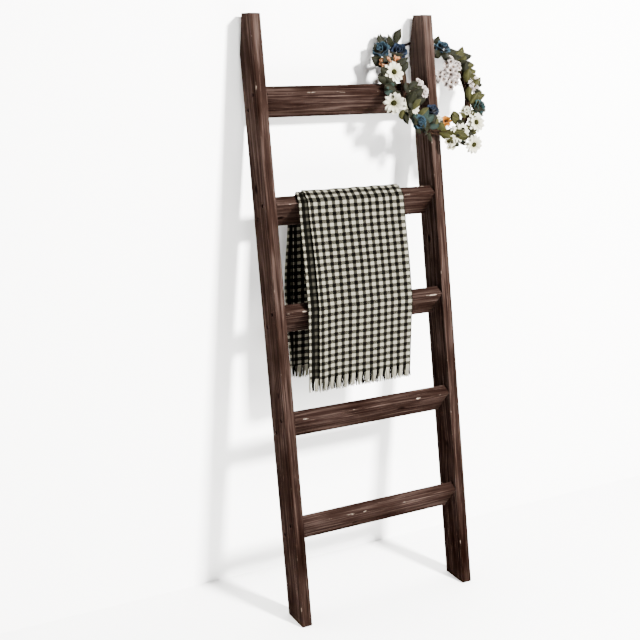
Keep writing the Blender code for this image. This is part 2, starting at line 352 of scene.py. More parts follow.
railFade = {"left_rail": 0.07, "right_rail": 0.20}   # how much lighter a rail gets per metre up
railKnots = {
    "left_rail": [(0.31, 0.010, 0.011), (-0.16, -0.012, 0.007)],
    "right_rail": [(0.16, 0.006, 0.010), (-0.35, -0.010, 0.008)],
}
rungKnots = {
    2: [(0.085, -0.004, 0.010)],
    4: [(-0.19, 0.008, 0.008)],
    1: [(-0.06, 0.012, 0.008)],
}
for seed, (name, knots) in enumerate(railKnots.items()):
    centre = middleOf(name)
    centre.y = railUp.y / railUp.z * centre.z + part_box(name)[0].y + railBack.y * rack["boardWidth"] / 2
    wood = makeWood(f"stainedWood_{name}", centre, railUp, railBack, wholeWidthX,
                    seed + 1, knots, 0.5, railFade[name])
    setMaterial(nodes[name], wood)
for number in range(1, 6):
    name = f"rung_{number}"
    wood = makeWood(f"stainedWood_{name}", middleOf(name), wholeWidthX, rungDown, rungThrough,
                    number + 3.4, rungKnots.get(number, ()), 0.7)
    setMaterial(nodes[name], wood)


def makeScrewSteel():
    material, tree, shader = newMaterial("blackenedScrew", 0.45, 0.5, 0.3, 0.0003)
    shader.inputs["Metallic"].default_value = 0.8
    grime = noiseNode(objectPlace(tree), 900, 4)
    colour = rampNode(grime, [(0.35, (0.012, 0.010, 0.009)), (0.7, (0.10, 0.09, 0.08))])
    plug(shader.inputs["Base Color"], colour)
    plug(shader.inputs["Roughness"], plus(times(grime, 0.4), 0.3))
    plug(tree.nodes["bump"].inputs["Height"], grime)
    return material


screwSteel = makeScrewSteel()
for name, node in nodes.items():
    if name.startswith("screw"):
        setMaterial(node, screwSteel)
print("rack finished")

throwLook = {
    "flat": (1.09, 0.90),       # the woven cloth laid out, without its fringe
    "gapFromWood": 0.0014,      # middle of the inner layer off the rung
    "layerGap": 0.0021,
    "thick": 0.0011,
    "frontHem": 0.5545,         # height above the floor
    "backHem": 0.5530,
    "rows": 132,
    "stripe": 0.0192,           # dark and light warp stripe together
    "darkStripe": 0.49,
    "firstStripe": 0.004,       # from the selvedge
    "bar": 0.0163,              # dark and light weft bar together
    "darkBar": 0.54,
}
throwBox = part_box("throw")
throwLeft = throwBox[0].x + 0.155    # where the rack's middle is


def arcAround(corner, fromSide, toSide, off, steps):
    turn = fromSide.angle(toSide)
    points = []
    for step in range(steps + 1):
        share = step / steps
        side = fromSide * math.sin((1 - share) * turn) + toSide * math.sin(share * turn)
        points.append(corner + side.normalized() * off)
    return points


def hangPath(off):   # one layer in section, from the front hem over the rung to the back hem
    below, front = frontTop(3), frontTop(4)
    top = front + rungThrough * rack["boardThick"]
    back = top + rungDown * rack["boardWidth"]
    forward = Vector((0, -1, 0))
    points = arcAround(below, forward, -railBack, off, 3)
    points = [Vector((0, points[0].y, throwLook["frontHem"]))] + points
    points += arcAround(front, -railBack, -rungDown, off, 6)
    points += arcAround(top, -rungDown, rungThrough, off, 7)
    points += arcAround(back, rungThrough, -forward, off, 4)
    last = points[-1]
    points.append(Vector((0, last.y + 0.002, last.z - 0.02)))
    points.append(Vector((0, last.y + 0.002, throwLook["backHem"])))
    return points


def lengthsAlong(points):
    lengths = [0.0]
    for before, after in zip(points, points[1:]):
        lengths.append(lengths[-1] + (after - before).length)
    return lengths


layerOffs = [throwLook["gapFromWood"] + throwLook["layerGap"] * number for number in (3, 2, 1, 0)]
layerPaths = [hangPath(off) for off in layerOffs]
middlePath = hangPath(sum(layerOffs) / 4)
middleLengths = lengthsAlong(middlePath)
hangLength = middleLengths[-1]

# sideways place of each edge and fold, from the front hem (0) to the back hem (1);
# the first is the top layer's free edge and the last is the inner layer's
foldPlaces = [
    [(0, -0.1335), (0.25, -0.1345), (0.45, -0.138), (0.55, -0.137), (1, -0.134)],
    [(0, 0.1165), (0.25, 0.1175), (0.45, 0.1145), (0.55, 0.114), (1, 0.1155)],
    [(0, -0.1545), (0.25, -0.1565), (0.45, -0.158), (0.55, -0.146), (0.78, -0.157), (0.88, -0.150),
     (1, -0.1425)],
    [(0, 0.1170), (0.25, 0.1180), (0.45, 0.111), (0.55, 0.110), (1, 0.114)],
    [(0, -0.148), (0.45, -0.152), (0.55, -0.138), (1, -0.136)],
]


def between(stops, share):
    for (first, low), (second, high) in zip(stops, stops[1:]):
        if share <= second:
            return low + (high - low) * ease(first, second, share)
    return stops[-1][1]


def onPath(points, along):   # place and outward direction, along the middle layer's length
    along = min(max(along, 0.0), hangLength - 1e-6)
    number = 0
    while middleLengths[number + 1] < along:
        number += 1
    share = (along - middleLengths[number]) / (middleLengths[number + 1] - middleLengths[number])
    place = points[number].lerp(points[number + 1], share)
    run = (middlePath[number + 1] - middlePath[number]).normalized()
    return place, Vector((0, -run.z, run.y))


def clothWave(x, along):   # slack that stands off the rung, never into it
    share = along / hangLength
    front = 1 - ease(0.30, 0.46, share)
    back = ease(0.56, 0.72, share)
    frontSlack = 0.5 + 0.5 * math.sin(x * 46 + share * 5 + 0.8)
    frontSlack += 0.35 * (0.5 + 0.5 * math.sin(x * 97 - share * 9))
    backSlack = 0.5 + 0.5 * math.sin(x * 38 - share * 7 + 2.1)
    overTop = (1 - front) * (1 - back) * 0.0007 * (1 + math.sin(x * 120 + 1.3))
    return 0.0024 * front * frontSlack + 0.0040 * back * backSlack + overTop


layerColumns, foldColumns = 30, 6
columnPlan = []   # layer, share across it, or the fold after it and the share round that
for layer in range(4):
    for step in range(layerColumns + 1):
        columnPlan.append((layer, step / layerColumns, False))
    if layer < 3:
        for step in range(1, foldColumns):
            columnPlan.append((layer, step / foldColumns, True))


def clothSpot(column, along):
    layer, share, folded = columnPlan[column]
    where = min(max(along / hangLength, 0), 1)
    start, end = between(foldPlaces[layer], where), between(foldPlaces[layer + 1], where)
    radius = throwLook["layerGap"] / 2
    side = 1 if layer % 2 == 0 else -1
    edgeLift = 0.0
    if folded:
        outer, out = onPath(layerPaths[layer], along)
        inner, _ = onPath(layerPaths[layer + 1], along)
        turn = share * math.pi
        place = (outer + inner) / 2 + (outer - inner) / 2 * math.cos(turn)
        x = end + side * radius * 1.6 * math.sin(turn)
    else:
        place, out = onPath(layerPaths[layer], along)
        x = start + (end - start) * share
        if layer == 0:   # the free edge stands up a little
            edgeLift = 0.0052 * (1 - ease(0, 0.14, share)) * (1 - 0.6 * ease(0.36, 0.46, where))
    slack = clothWave(x, along)
    beyond = abs(min(along, 0) + max(along - hangLength, 0))   # the fringe hangs on below the hem
    spot = place + out * (slack + edgeLift)
    return Vector((throwLeft + x, spot.y, spot.z - beyond))


columnFlat = [0.0]
for column in range(1, len(columnPlan)):
    step = clothSpot(column, 0.2) - clothSpot(column - 1, 0.2)
    columnFlat.append(columnFlat[-1] + step.length)
flatShare = throwLook["flat"][0] / columnFlat[-1]
columnFlat = [flat * flatShare for flat in columnFlat]
uvSpan = 1.2
leftFold = 2 * (layerColumns + 1) + (foldColumns - 1) + foldColumns // 2 - 1   # the column at its edge
throwFold = columnFlat[leftFold]

deselectAll()
rows = throwLook["rows"]
bpy.ops.mesh.primitive_grid_add(x_subdivisions=len(columnPlan) - 1, y_subdivisions=rows, size=2,
                                calc_uvs=True)
throwCloth = bpy.context.object
throwCloth.name = "throwCloth"
mesh = throwCloth.data
columnOf, rowOf = {}, {}
for vertex in mesh.vertices:
    columnOf[vertex.index] = round((vertex.co.x + 1) / 2 * (len(columnPlan) - 1))
    rowOf[vertex.index] = round((vertex.co.y + 1) / 2 * rows)
for loop in mesh.loops:
    flatAcross = columnFlat[columnOf[loop.vertex_index]]
    flatAlong = rowOf[loop.vertex_index] / rows * hangLength
    mesh.uv_layers.active.data[loop.index].uv = (flatAcross / uvSpan, flatAlong / uvSpan)
for vertex in mesh.vertices:
    vertex.co = clothSpot(columnOf[vertex.index], rowOf[vertex.index] / rows * hangLength)
body = throwCloth.modifiers.new("clothThickness", "SOLIDIFY")
body.thickness = throwLook["thick"]
body.offset = 0
body.material_offset = 1
throwCloth.data.materials.append(None)
throwCloth.data.materials.append(None)
applyModifiers(throwCloth)
bpy.ops.object.mode_set(mode="EDIT")
bpy.ops.mesh.select_all(action="SELECT")
bpy.ops.mesh.normals_make_consistent(inside=False)
bpy.ops.object.mode_set(mode="OBJECT")
smoothed(throwCloth, 60)

clothColours = {
    "black": (0.0007, 0.00065, 0.0005),
    "cream": (0.150, 0.143, 0.112),
    "thread": 0.0012,
    "warpShows": 0.2,
    # how far the reverse is darkened: its own weave and painted shade
    "reverseWeaveAndShade": 0.88,
}


def makeGingham(name, reverse=False):   # the reverse is darker, partly its own weave and partly painted shade; a strip along the fold's edge is left out of the shade as a painted highlight
    material, tree, shader = newMaterial(name, 0.95, 0.0, 0.5, 0.0005)
    uv, uFlat, vFlat = uvPlace(tree)
    drift = times(minus(noiseNode(uv, 26, 2), 0.5), 0.0022)
    u = plus(times(uFlat, uvSpan), drift)
    v = minus(times(vFlat, uvSpan), drift)
    uStripe = mathNode("FRACT", over(minus(u, throwLook["firstStripe"]), throwLook["stripe"]))
    vBar = mathNode("FRACT", over(v, throwLook["bar"]))
    warpDark = mathNode("LESS_THAN", uStripe, throwLook["darkStripe"])
    weftDark = mathNode("LESS_THAN", vBar, throwLook["darkBar"])
    thread = clothColours["thread"]
    uThread, vThread = over(u, thread), over(v, thread)
    crossing = plus(mathNode("FLOOR", uThread), mathNode("FLOOR", vThread))
    # twill: each weft thread goes over two warp threads and under one
    warpOver = mathNode("LESS_THAN", mathNode("FRACT", over(crossing, 3)), clothColours["warpShows"])
    fibres = noiseNode(uv, 900, 3)
    black = mixColours(fibres, (0.0003, 0.0003, 0.0002), scaled(clothColours["black"], 2))
    cream = mixColours(fibres, scaled(clothColours["cream"], 0.78), scaled(clothColours["cream"], 1.18))
    # a light thread among dark ones is darkened: painted shade from the threads beside it
    warpCreamShaded = mixColours(times(weftDark, 0.62), cream, black)
    weftCreamShaded = mixColours(times(warpDark, 0.86), cream, black)
    warpColour = mixColours(warpDark, warpCreamShaded, black)
    weftColour = mixColours(weftDark, weftCreamShaded, black)
    colour = mixColours(warpOver, weftColour, warpColour)
    # painted shade in the gaps between the threads
    uRound = mathNode("SINE", times(mathNode("FRACT", uThread), math.pi))
    vRound = mathNode("SINE", times(mathNode("FRACT", vThread), math.pi))
    rounds = times(uRound, vRound)
    colour = dimmed(colour, plus(times(rounds, 0.5), 0.66, clamp=True))
    if reverse:
        # painted shade on the reverse, except within 5 mm of the fold's edge, which stays bright as a
        # painted highlight
        fromFold = mathNode("ABSOLUTE", minus(u, throwFold))
        shaded = times(minus(fromFold, 0.005), 300, clamp=True)
        colour = mixColours(times(shaded, clothColours["reverseWeaveAndShade"]), colour, clothColours["black"])
    plug(shader.inputs["Base Color"], colour)
    plug(tree.nodes["bump"].inputs["Height"], plus(rounds, times(fibres, 0.5)))
    return material


throwCloth.data.materials[0] = makeGingham("ginghamWeave")
throwCloth.data.materials[1] = makeGingham("ginghamReverseShaded", True)
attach(throwCloth, "throw")
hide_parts("throw")
print("throw hung:", len(throwCloth.data.polygons), "faces")


def tubesAlong(name, paths, rounding=0):   # each path is a list of (place, radius)
    deselectAll()
    curve = bpy.data.curves.new(name, "CURVE")
    curve.dimensions = "3D"
    curve.bevel_depth = 1.0
    curve.bevel_resolution = rounding
    curve.use_fill_caps = True
    for path in paths:
        spline = curve.splines.new("POLY")
        spline.points.add(len(path) - 1)
        for point, (place, radius) in zip(spline.points, path):
            point.co = (*place, 1)
            point.radius = radius
    tubes = bpy.data.objects.new(name, curve)
    bpy.context.collection.objects.link(tubes)
    pickOnly(tubes)
    bpy.ops.object.convert(target="MESH")
    tubes = bpy.context.object
    tubes.name = name
    return tubes


fringe = {
    "length": 0.030,
    "darkStrands": 3,
    "lightStrands": 5,
    "darkRadius": 0.0010,
    "lightRadius": 0.0012,
}


def columnAt(flat):
    for column, (start, end) in enumerate(zip(columnFlat, columnFlat[1:])):
        if end >= flat:
            return column, (flat - start) / max(1e-9, end - start)
    return len(columnFlat) - 2, 1.0


def strandPath(flat, bunchFlat, atFront, dice, radius):
    column, share = columnAt(flat)
    bunchColumn, bunchShare = columnAt(bunchFlat)
    length = fringe["length"] * dice.uniform(0.86, 1.08)
    sway = dice.uniform(-0.0022, 0.0022)
    path = []
    for step in range(6):
        down = step / 5
        along = 0.0015 - down * (length + 0.0015)
        if not atFront:
            along = hangLength - along
        place = clothSpot(column, along).lerp(clothSpot(column + 1, along), share)
        bunch = clothSpot(bunchColumn, along).lerp(clothSpot(bunchColumn + 1, along), bunchShare)
        place = place.lerp(bunch, 0.42 * ease(0, 0.8, down))
        place.x += sway * down * down + 0.0016 * math.sin(down * 3 + bunchFlat * 90) * down
        path.append((place, radius * (1 - 0.35 * down)))
    return path


def makeFringe():
    dice = random.Random(11)
    dark, light = [], []
    stripe = throwLook["stripe"]
    split = stripe * throwLook["darkStripe"]
    for atFront in (True, False):
        start = throwLook["firstStripe"] - stripe
        while start < throwLook["flat"][0]:
            for first, width, count, radius, group in (
                (start, split, fringe["darkStrands"], fringe["darkRadius"], dark),
                (start + split, stripe - split, fringe["lightStrands"], fringe["lightRadius"], light),
            ):
                for number in range(count):
                    flat = first + width * (number + 0.5) / count
                    if 0.001 < flat < throwLook["flat"][0] - 0.001:
                        group.append(strandPath(flat, first + width / 2, atFront, dice, radius))
            start += stripe
    return dark, light


def makeYarn(name, colour, spread):
    material, tree, shader = newMaterial(name, 0.95, 0.0, 0.5, 0.0004)
    spot = objectPlace(tree)
    twist = tree.nodes.new("ShaderNodeTexWave")
    twist.bands_direction = "DIAGONAL"
    twist.inputs["Scale"].default_value = 330
    twist.inputs["Distortion"].default_value = 2
    plug(twist.inputs["Vector"], spot)
    fibres = noiseNode(spot, 700, 3)
    tone = plus(times(twist.outputs["Fac"], 0.5), times(fibres, 0.5))
    colour = mixColours(tone, scaled(colour, 1 - spread), scaled(colour, 1 + spread))
    plug(shader.inputs["Base Color"], colour)
    plug(tree.nodes["bump"].inputs["Height"], tone)
    return material


darkPaths, lightPaths = makeFringe()
fringeDark = tubesAlong("fringeDark", darkPaths)
fringeLight = tubesAlong("fringeLight", lightPaths)
setMaterial(fringeDark, makeYarn("blackYarn", clothColours["black"], 0.6))
setMaterial(fringeLight, makeYarn("creamYarn", scaled(clothColours["cream"], 0.9), 0.25))
for tassels in (fringeDark, fringeLight):
    smoothed(tassels, 60)
    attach(tassels, "throw")
print("fringe knotted:", len(darkPaths) + len(lightPaths), "strands")


wreath = {
    "radiusX": 0.098,
    "drop": 0.205,
    "topAboveKnee": 0.020,
    "wallCut": 0.088,            # the bevel's height at the back of the rails
    "bundle": 0.010,             # radius of the bundle of twigs
    "squeezed": 0.2,             # its share between rail and wall
    "onCorner": math.radians(58),
    "twigs": 26,
}


def wreathRoute():   # places that the bundle passes through, clockwise, with its share of the full radius
    railLow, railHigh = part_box("right_rail")
    centreX = railHigh.x - 0.002
    thin = wreath["bundle"] * wreath["squeezed"]
    topZ = railHigh.z - wreath["wallCut"] + wreath["topAboveKnee"]
    topY = railHigh.y - wreath["topAboveKnee"] * math.tan(math.radians(8)) + thin + 0.0003
    bottomZ = topZ - wreath["drop"]
    bottomY = railLow.y + bottomZ * math.tan(rack["lean"]) - wreath["bundle"] - 0.0009
    rest = frontTop(5)
    off = wreath["bundle"] - 0.00045
    restY = rest.y - math.sin(wreath["onCorner"]) * off
    restZ = rest.z + math.cos(wreath["onCorner"]) * off
    left, right = centreX - wreath["radiusX"], centreX + wreath["radiusX"]
    middleY = (topY + bottomY) / 2
    return [
        ((railLow.x - thin * 3, topY, topZ), 0.2),
        ((railHigh.x + thin * 3, topY, topZ), 0.2),
        ((right - 0.030, topY - 0.022, topZ - 0.026), 0.9),
        ((right, middleY - 0.006, topZ - 0.090), 1),
        ((right - 0.018, bottomY + 0.014, bottomZ + 0.045), 1),
        ((right - 0.062, bottomY, bottomZ + 0.006), 1),
        ((left + 0.076, bottomY, bottomZ + 0.001), 1),
        ((left + 0.024, bottomY + 0.002, bottomZ + 0.032), 1),
        ((left, restY - 0.014, restZ - 0.038), 1),
        ((left + 0.002, restY, restZ), 1),
        ((left + 0.014, restY + 0.034, restZ + 0.044), 0.9),
        ((left + 0.042, topY - 0.010, topZ - 0.016), 0.6),
    ]


route = wreathRoute()
deselectAll()
bpy.ops.curve.primitive_bezier_circle_add(radius=wreath["radiusX"])
guide = bpy.context.object
bpy.ops.object.mode_set(mode="EDIT")
bpy.ops.curve.select_all(action="SELECT")
bpy.ops.curve.subdivide(number_cuts=2)
bpy.ops.object.mode_set(mode="OBJECT")
knots = guide.data.splines[0].bezier_points
for knot, (place, share) in zip(knots, route):
    knot.handle_left_type = "AUTO"
    knot.handle_right_type = "AUTO"
    knot.co = place
    knot.radius = share
bpy.context.view_layer.update()
ringPlaces, ringShares = [], []
stepsEach = 10
for number, knot in enumerate(knots):
    after = knots[(number + 1) % len(knots)]
    steps = interpolate_bezier(knot.co, knot.handle_right, after.handle_left, after.co, stepsEach + 1)
    for step in range(stepsEach):
        ringPlaces.append(steps[step].copy())
        ringShares.append(knot.radius + (after.radius - knot.radius) * step / stepsEach)
bpy.data.objects.remove(guide)
ringCount = len(ringPlaces)
ringCentre = Vector((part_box("right_rail")[1].x - 0.002, 0, frontTop(5).z))
ringFront = Vector((0, -0.85, 0.53)).normalized()


def ringAt(turn):   # index of the ring's place at some degrees clockwise from the top
    def apart(number):
        off = ringPlaces[number] - ringCentre
        return abs((math.degrees(math.atan2(off.x, off.z)) - turn + 180) % 360 - 180)
    return min(range(ringCount), key=apart)


def ringSides(number):   # along the ring, out of it and towards the front
    along = (ringPlaces[(number + 1) % ringCount] - ringPlaces[number - 1]).normalized()
    front = (ringFront - along * ringFront.dot(along)).normalized()
    return along, front.cross(along), front


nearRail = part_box("right_rail")
nearRung = middleOf("rung_5")


def insideWood(place, margin=0.0015):
    up, back = place.z * math.tan(rack["lean"]), rack["boardWidth"] / math.cos(rack["lean"])
    low, high = nearRail
    if low.x - margin < place.x < high.x + margin:
        frontY = low.y + up
        if frontY - margin < place.y < frontY + back + margin and place.z < high.z:
            return True
    if place.x < low.x + margin:
        off = Vector((0, place.y - nearRung.y, place.z - nearRung.z))
        inWidth = abs(off.dot(rungDown)) < rack["boardWidth"] / 2 + margin
        return inWidth and abs(off.dot(rungThrough)) < rack["boardThick"] / 2 + margin
    return False


# how far each flower leans off its place on the ring: right, back and up, in mm
flowerLean = {
    "rose_1": (-34, 15, 25), "rose_2": (-17, -10, -16), "rose_3": (3, -5, -8), "rose_4": (-19, 4, 7),
    "rose_5": (1, -15, -23), "rose_6": (-12, 20, 36), "daisy_1": (-33, 14, 23), "daisy_2": (-29, -6, -10),
    "daisy_3": (-15, 8, 14), "daisy_4": (-10, -7, -11), "daisy_5": (2, -16, -24),
    "orange_blossom_1": (-36, 12, 20), "orange_blossom_2": (-23, -5, -8), "orange_blossom_3": (-18, 3, 8),
    "white_blossom_1": (-22, -3, -5), "white_blossom_2": (-26, -2, -3),
    "white_blossom_3": (14, -1, -2), "white_blossom_4": (13, -10, -16),
}
flowerTurn = {   # how much each one turns to the front, and its size
    "rose_1": (0.9, 1.15), "rose_2": (1.2, 1.2), "rose_3": (0.8, 1.12), "rose_4": (1.0, 1.05),
    "rose_5": (0.9, 1.05), "rose_6": (0.8, 0.95), "daisy_1": (1.6, 1.12), "daisy_2": (0.7, 1.1),
    "daisy_3": (1.1, 1.12), "daisy_4": (1.2, 1.08), "daisy_5": (1.0, 1.08), "orange_blossom_1": (1.4, 1.12),
    "orange_blossom_2": (1.6, 1.08), "orange_blossom_3": (1.6, 1.1),
}
# smaller blooms tucked in: kind and colour, the flower they stand by, mm right, back and up from it,
# how much they turn to the front, and size
tuckedIn = [
    ("daisy", "daisyCream", "daisy_5", (-24, -46, -74), 1.2, 1.0),
    ("white_blossom", "daisyCream", "rose_5", (-46, -18, -29), 1.4, 0.8),
    ("white_blossom", "blush", "rose_6", (-37, 43, 93), 2.0, 0.9),
    ("white_blossom", "blush", "rose_6", (-28, 33, 76), 2.0, 0.9),
    ("white_blossom", "daisyCream", "daisy_3", (-8, 18, 42), 1.6, 0.9),
    ("white_blossom", "daisyCream", "orange_blossom_3", (-42, 2, 16), 1.6, 0.8),
    ("white_blossom", "blush", "white_blossom_2", (-66, -4, -4), 1.4, 1.1),
    ("white_blossom", "blush", "white_blossom_1", (-9, -14, -15), 1.2, 0.8),
    ("white_blossom", "blush", "white_blossom_2", (-41, -16, -17), 1.4, 1.2),
    ("white_blossom", "blush", "white_blossom_1", (-33, -20, -24), 1.4, 1.2),
    ("white_blossom", "blush", "white_blossom_3", (-2, -17, -18), 1.2, 1.2),
]
towardsRoom = Vector((-0.35, -0.88, 0.30)).normalized()


def facingOut(spot, turn):   # nearest place on the ring, and the way a flower there faces
    nearest = min(ringPlaces, key=lambda place: (place - spot).length)
    return nearest, ((spot - nearest).normalized() + towardsRoom * turn).normalized()


def flowerPlace(node):
    turn, size = flowerTurn.get(node, (0.9, 1.15))
    nearest, way = facingOut(middleOf(node), turn)
    return nearest, middleOf(node) + Vector(flowerLean[node]) / 1000, way, size


def tuckedPlace(near, lean, turn, size):
    middle = middleOf(near) + Vector(lean) / 1000
    while insideWood(middle, 0.008):
        middle += towardsRoom * 0.003
    nearest, way = facingOut(middle, turn)
    return nearest, middle, way, size


def growing(number, outTurn, lift):   # some degrees out of the ring's run and towards the front
    along, outward, front = ringSides(number)
    outTurn, lift = math.radians(outTurn), math.radians(lift)
    run = along * math.cos(outTurn) + outward * math.sin(outTurn)
    return (run * math.cos(lift) + front * math.sin(lift)).normalized()


def twigPaths():
    dice = random.Random(5)
    paths = []
    for twig in range(wreath["twigs"]):
        start = dice.randrange(ringCount)
        span = int(ringCount * dice.uniform(0.72, 0.98))
        winds = dice.choice([-2, -1, 1, 2, 3])
        phase = tau * twig / wreath["twigs"] + dice.uniform(-0.3, 0.3)
        spread = dice.uniform(0.15, 0.80) * wreath["bundle"]
        thick = dice.uniform(0.0015, 0.0027)
        path = []
        for step in range(span):
            number = (start + step) % ringCount
            along, outward, front = ringSides(number)
            share = ringShares[number]
            turn = phase + winds * tau * step / ringCount + 0.5 * math.sin(step * 0.21 + twig)
            side = outward * math.cos(turn) + front * math.sin(turn)
            radius = thick * min(1, 0.45 + share) * (0.75 + 0.25 * math.sin(step * 0.35 + twig * 2))
            taper = min(1, 0.45 + step / 14, 0.35 + (span - step) / 16)
            reach = min(spread, wreath["bundle"] - thick) * share
            path.append((ringPlaces[number] + side * reach, radius * taper))
        paths.append(path)
    # loose ends that stick out
    for turn, outTurn, lift, length in wreathEnds:
        number = ringAt(turn)
        along, outward, front = ringSides(number)
        run = growing(number, outTurn, lift)
        bend = outward * dice.uniform(-0.25, 0.25) + front * dice.uniform(0, 0.2)
        path = []
        for step in range(7):
            share = step / 6
            place = ringPlaces[number] + front * 0.004 + (run * share + bend * share * share) * length
            path.append((place, 0.0012 * (1 - 0.7 * share)))
        if not any(insideWood(place, 0.001) for place, radius in path[1:]):
            paths.append(path)
    stems = [flowerPlace(name) for name in flowerLean] + [tuckedPlace(*plan[2:]) for plan in tuckedIn]
    for nearest, middle, way, size in stems:   # from the ring to each flower
        foot = middle - way * 0.008
        path = []
        for step in range(6):
            share = step / 5
            place = nearest.lerp(foot, share) - way * 0.006 * math.sin(math.pi * share)
            path.append((place, 0.0013 - 0.0004 * share))
        if not any(insideWood(place, 0.0005) for place, radius in path):
            paths.append(path)
    return paths


wreathEnds = [   # degrees round the ring, out of it, towards the front, and length
    (-30, 160, 35, 0.034), (-62, 120, 20, 0.030), (-95, -60, 40, 0.030), (-120, 40, 35, 0.028),
    (-150, 20, 30, 0.036), (-165, -20, 25, 0.030), (175, 25, 10, 0.040), (160, 60, 5, 0.030),
    (128, -60, 25, 0.026), (112, -40, 20, 0.030), (96, -70, 25, 0.026), (84, -50, 5, 0.030),
    (70, -60, 30, 0.028), (50, -70, 30, 0.030), (60, 70, 25, 0.032), (100, 50, 5, 0.030),
    (140, 60, 30, 0.026),
]


def makeBark():
    material, tree, shader = newMaterial("vineBark", 0.85, 0.03, 0.7, 0.0008)
    spot = objectPlace(tree)
    rough = noiseNode(spot, 420, 5, 0.65)
    patch = noiseNode(spot, 60, 3)
    tone = plus(times(rough, 0.6), times(patch, 0.4))
    colour = rampNode(tone, [(0.32, (0.002, 0.001, 0.0007)), (0.54, (0.009, 0.0045, 0.0026)),
                             (0.74, (0.060, 0.034, 0.019))])
    plug(shader.inputs["Base Color"], colour)
    plug(tree.nodes["bump"].inputs["Height"], rough)
    return material


wreathTwigs = tubesAlong("wreathTwigs", twigPaths(), 1)
setMaterial(wreathTwigs, makeBark())
smoothed(wreathTwigs, 60)
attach(wreathTwigs, "wreath")
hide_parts("wreath_ring")
print("twigs wound")


def makePetal(name, length, width, material, cup=0.0, curl=0.0, base=0.3, tip=0.6, notch=0.0, cells=(4, 6)):
    deselectAll()
    bpy.ops.mesh.primitive_grid_add(x_subdivisions=cells[0], y_subdivisions=cells[1], size=1, calc_uvs=True)
    petal = bpy.context.object
    petal.name = name
    for vertex in petal.data.vertices:
        side, up = vertex.co.x * 2, vertex.co.y + 0.5
        spread = base + (1 - base) * math.sin(math.pi / 2 * min(1, up / tip))
        past = max(0, (up - tip) / (1 - tip))
        spread *= math.sqrt(max(0, 1 - past ** 2.2)) * 0.97 + 0.03
        reach = up - notch * (1 - abs(side)) * past * past
        lift = cup * side * side * spread * width + curl * up * up * length
        vertex.co = Vector((side * spread * width / 2, reach * length, lift))
    petal.data.materials.append(material)
    return petal


def ringOfPetals(petal, count, radius, height, opened, turn=0.0, dice=None, spread=6):
    petals = []
    for number in range(count):
        wobble = dice.uniform(-spread, spread) if dice else 0
        place = Matrix.Rotation(turn + tau * number / count + math.radians(wobble) * 0.6, 4, "Z")
        place = place @ Matrix.Translation((0, radius, height))
        place = place @ Matrix.Rotation(math.radians(90 - opened - wobble), 4, "X")
        petals.append(copyOf(petal, place))
    return petals


def finishPetals(pieces, name, thickness):
    flower = joinPieces(pieces, name)
    body = flower.modifiers.new("petalThickness", "SOLIDIFY")
    body.thickness = thickness
    body.offset = 0
    applyModifiers(flower)
    smoothed(flower, 60)
    return flower


def petalMaterial(name, heart, middle, rim):
    material, tree, shader = newMaterial(name, 0.75, 0.04, 0.45, 0.0006)
    shader.inputs["Sheen Weight"].default_value = 0.03
    uv, across, up = uvPlace(tree)
    blot = noiseNode(objectPlace(tree), 160, 3)
    veins = noiseNode(combine(times(across, 26), times(up, 2.5), 0), 1, 3)
    along = plus(up, times(minus(blot, 0.5), 0.5))
    colour = rampNode(along, [(0.05, heart), (0.5, middle), (0.97, rim)])
    plug(shader.inputs["Base Color"], dimmed(colour, plus(times(veins, 0.5), 0.75)))
    plug(tree.nodes["bump"].inputs["Height"], plus(veins, times(blot, 0.5)))
    return material


def seedMaterial(name, low, high):
    material, tree, shader = newMaterial(name, 0.85, 0.03, 0.8, 0.0010)
    grains = noiseNode(objectPlace(tree), 700, 3)
    plug(shader.inputs["Base Color"], rampNode(grains, [(0.38, low), (0.64, high)]))
    plug(tree.nodes["bump"].inputs["Height"], grains)
    return material


flowerColours = {
    "roseBlue": ((0.0003, 0.0006, 0.0013), (0.0012, 0.0030, 0.0056), (0.013, 0.0275, 0.039)),
    "roseNavy": ((0.0002, 0.0004, 0.0010), (0.0008, 0.0015, 0.0038), (0.006, 0.0105, 0.021)),
    "roseTeal": ((0.0003, 0.0011, 0.0012), (0.0013, 0.0042, 0.0048), (0.012, 0.027, 0.027)),
    "daisyCream": ((0.124, 0.1178, 0.0558), (0.248, 0.2387, 0.1736), (0.2914, 0.2821, 0.2294)),
    "peach": ((0.012, 0.0025, 0.0006), (0.130, 0.042, 0.0150), (0.230, 0.112, 0.054)),
    "amber": ((0.014, 0.003, 0.0005), (0.130, 0.040, 0.0030), (0.220, 0.085, 0.010)),
    "blush": ((0.062, 0.0403, 0.031), (0.2108, 0.1798, 0.1643), (0.2976, 0.2666, 0.2511)),
}
petalCloth = {name: petalMaterial(name, *colours) for name, colours in flowerColours.items()}
daisyHeart = seedMaterial("daisyHeart", (0.0012, 0.0014, 0.0003), (0.012, 0.012, 0.002))
blossomHeart = seedMaterial("blossomHeart", (0.004, 0.0015, 0.0006), (0.045, 0.016, 0.003))


def makeRose():
    dice = random.Random(3)
    cloth = petalCloth["roseBlue"]
    pieces = []
    for count, opened, radius, height, length, width, cup, curl in (
        (3, 4, 0.0012, -0.004, 0.0125, 0.0095, 0.42, 0.05),
        (4, 16, 0.0030, -0.006, 0.0145, 0.0130, 0.34, -0.10),
        (5, 36, 0.0045, -0.008, 0.0155, 0.0165, 0.24, -0.22),
        (6, 62, 0.0050, -0.009, 0.0145, 0.0175, 0.15, -0.26),
    ):
        petal = makePetal("rosePetal", length, width, cloth, cup, curl, 0.4, 0.55, 0.08)
        pieces += ringOfPetals(petal, count, radius, height, opened, dice.uniform(0, tau), dice, 7)
        bpy.data.objects.remove(petal)
    return finishPetals(pieces, "rosePattern", 0.0005)


